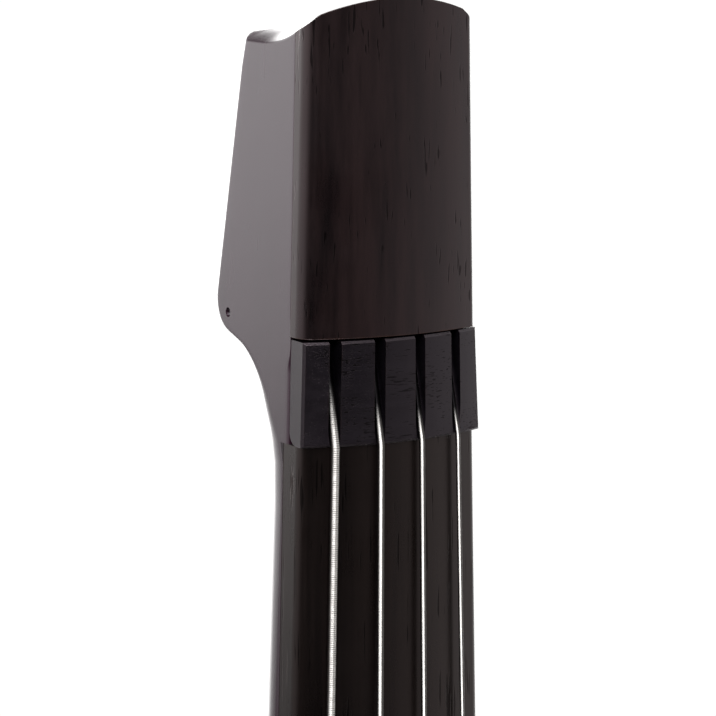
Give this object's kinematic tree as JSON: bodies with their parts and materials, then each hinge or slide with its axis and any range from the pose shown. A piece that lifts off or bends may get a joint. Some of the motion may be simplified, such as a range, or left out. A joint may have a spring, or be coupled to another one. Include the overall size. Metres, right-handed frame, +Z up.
{
  "type": "upright electric double bass on a stand",
  "caption": "Slim headless upright electric double bass with a hollow-covered head, slotted nut, worm tuners at the tail and a height-adjustable tripod stand.",
  "frame": {"origin": "on the floor, at the middle of the box round the whole object", "axes": "+Z up, the strings face -Y, the low E string is at -X"},
  "size_m": [0.6482, 0.5634, 1.7962],
  "materials": {
    "lacquered_wood": "gloss black lacquer",
    "dark_wood": "oiled dark wood",
    "ebony": "polished ebony",
    "maple": "oiled maple",
    "steel": "brushed",
    "string_steel": "polished winding",
    "brass": "satin",
    "nickel": "satin nickel",
    "black_steel": "black powder coat",
    "black_cast": "black cast aluminium",
    "zinc": "zinc plated",
    "rubber": "matt",
    "black_plastic": "matt",
    "circuit": "circuit board"
  },
  "bodies": {
    "stand_base": {"mast_outer": "black_steel", "mast_cap": "black_plastic", "leg_hub": "black_cast", "clamp_collar": "black_cast", "leg_pins": "zinc"},
    "mast": {"mast_inner": "zinc", "tilt_head": "black_cast"},
    "leg_front": {"leg_front": "black_steel", "foot_front": "rubber"},
    "leg_right": {"leg_right": "black_steel", "foot_right": "rubber"},
    "leg_left": {"leg_left": "black_steel", "foot_left": "rubber"},
    "tilt_knob": {"tilt_knob": "black_plastic"},
    "height_knob": {"height_knob": "black_plastic"},
    "bridge_wheel_left": {"bridge_wheel_left": "brass"},
    "bridge_wheel_right": {"bridge_wheel_right": "brass"},
    "tuner_key_e": {"tuner_key_e": "nickel"},
    "tuner_post_e": {"tuner_post_e": "nickel"},
    "tuner_key_a": {"tuner_key_a": "nickel"},
    "tuner_post_a": {"tuner_post_a": "nickel"},
    "tuner_key_d": {"tuner_key_d": "nickel"},
    "tuner_post_d": {"tuner_post_d": "nickel"},
    "tuner_key_g": {"tuner_key_g": "nickel"},
    "tuner_post_g": {"tuner_post_g": "nickel"},
    "volume_knob": {"volume_knob": "black_plastic"},
    "tone_knob": {"tone_knob": "black_plastic"},
    "switch_lever": {"switch_lever": "zinc"},
    "instrument": {"neck": "lacquered_wood", "body": "lacquered_wood", "head_cover": "dark_wood", "nut": "ebony", "fingerboard": "dark_wood", "string_e": "string_steel", "string_a": "string_steel", "string_d": "string_steel", "string_g": "string_steel", "string_anchor": "brass", "anchor_screws": "steel", "cover_screws": "steel", "head_pin": "steel", "truss_rod": "steel", "neck_bolts": "steel", "bridge": "maple", "bridge_feet": "maple", "piezo_plates": "brass", "tuner_plate_left": "nickel", "tuner_plate_right": "nickel", "tuner_screws": "nickel", "post_bushings": "nickel", "potentiometers": "zinc", "switch_body": "zinc", "output_jack": "zinc", "preamp_board": "circuit", "battery": "black_plastic", "control_cover": "black_plastic", "cover_plate_screws": "steel", "stand_plate": "black_steel", "plate_screws": "steel", "tilt_nut": "zinc"}
  },
  "joints": [
    {"name": "leg_front_fold", "type": "hinge", "parent": "stand_base", "child": "leg_front", "pos_m": [0, 0.04933, 0.236], "axis": [1, 0, 0], "range_deg": [0, 50]},
    {"name": "leg_right_fold", "type": "hinge", "parent": "stand_base", "child": "leg_right", "pos_m": [0.03464, 0.10933, 0.236], "axis": [-0.5, 0.866, 0], "range_deg": [0, 50]},
    {"name": "leg_left_fold", "type": "hinge", "parent": "stand_base", "child": "leg_left", "pos_m": [-0.03464, 0.10933, 0.236], "axis": [-0.5, -0.866, 0], "range_deg": [0, 50]},
    {"name": "mast_height", "type": "slide", "parent": "stand_base", "child": "mast", "axis": [0, 0, 1], "range_m": [-0.1, 0.2]},
    {"name": "tilt", "type": "hinge", "parent": "mast", "child": "instrument", "pos_m": [0, 0.08933, 0.8], "axis": [1, 0, 0], "range_deg": [-20, 2]},
    {"name": "tilt_knob_turn", "type": "hinge", "parent": "instrument", "child": "tilt_knob", "pos_m": [0, 0.08933, 0.8], "axis": [1, 0, 0], "range_deg": [-360, 90]},
    {"name": "height_knob_turn", "type": "hinge", "parent": "stand_base", "child": "height_knob", "pos_m": [0, 0.11933, 0.6], "axis": [0, 1, 0], "range_deg": [-90, 360]},
    {"name": "bridge_wheel_left_turn", "type": "hinge", "parent": "instrument", "child": "bridge_wheel_left", "pos_m": [-0.04, -0.00017, 0.64], "axis": [0, 1, 0], "continuous": true},
    {"name": "bridge_wheel_right_turn", "type": "hinge", "parent": "instrument", "child": "bridge_wheel_right", "pos_m": [0.04, -0.00017, 0.64], "axis": [0, 1, 0], "continuous": true},
    {"name": "tuner_key_e_turn", "type": "hinge", "parent": "instrument", "child": "tuner_key_e", "pos_m": [-0.037, 0.04298, 0.5175], "axis": [1, 0, 0], "range_deg": [-720, 720]},
    {"name": "tuner_post_e_turn", "type": "hinge", "parent": "instrument", "child": "tuner_post_e", "pos_m": [-0.037, 0.02433, 0.503], "axis": [0, 1, 0], "range_deg": [-36.01, 36.01]},
    {"name": "tuner_key_a_turn", "type": "hinge", "parent": "instrument", "child": "tuner_key_a", "pos_m": [-0.017, 0.04298, 0.4685], "axis": [1, 0, 0], "range_deg": [-720, 720]},
    {"name": "tuner_post_a_turn", "type": "hinge", "parent": "instrument", "child": "tuner_post_a", "pos_m": [-0.017, 0.02433, 0.454], "axis": [0, 1, 0], "range_deg": [-36.01, 36.01]},
    {"name": "tuner_key_d_turn", "type": "hinge", "parent": "instrument", "child": "tuner_key_d", "pos_m": [0.017, 0.04298, 0.4685], "axis": [1, 0, 0], "range_deg": [-720, 720]},
    {"name": "tuner_post_d_turn", "type": "hinge", "parent": "instrument", "child": "tuner_post_d", "pos_m": [0.017, 0.02433, 0.454], "axis": [0, 1, 0], "range_deg": [-36.01, 36.01]},
    {"name": "tuner_key_g_turn", "type": "hinge", "parent": "instrument", "child": "tuner_key_g", "pos_m": [0.037, 0.04298, 0.5175], "axis": [1, 0, 0], "range_deg": [-720, 720]},
    {"name": "tuner_post_g_turn", "type": "hinge", "parent": "instrument", "child": "tuner_post_g", "pos_m": [0.037, 0.02433, 0.503], "axis": [0, 1, 0], "range_deg": [-36.01, 36.01]},
    {"name": "volume_turn", "type": "hinge", "parent": "instrument", "child": "volume_knob", "pos_m": [0.062, 0.00433, 0.685], "axis": [0, 1, 0], "range_deg": [-150, 150]},
    {"name": "tone_turn", "type": "hinge", "parent": "instrument", "child": "tone_knob", "pos_m": [0.062, 0.00433, 0.652], "axis": [0, 1, 0], "range_deg": [-150, 150]},
    {"name": "switch_flip", "type": "hinge", "parent": "instrument", "child": "switch_lever", "pos_m": [0.062, 0.01933, 0.622], "axis": [1, 0, 0], "range_deg": [-10, 10]}
  ],
  "couplings": [
    {"joint": "tuner_post_e_turn", "follows": "tuner_key_e_turn", "ratio": -0.05},
    {"joint": "tuner_post_a_turn", "follows": "tuner_key_a_turn", "ratio": -0.05},
    {"joint": "tuner_post_d_turn", "follows": "tuner_key_d_turn", "ratio": -0.05},
    {"joint": "tuner_post_g_turn", "follows": "tuner_key_g_turn", "ratio": -0.05}
  ]
}
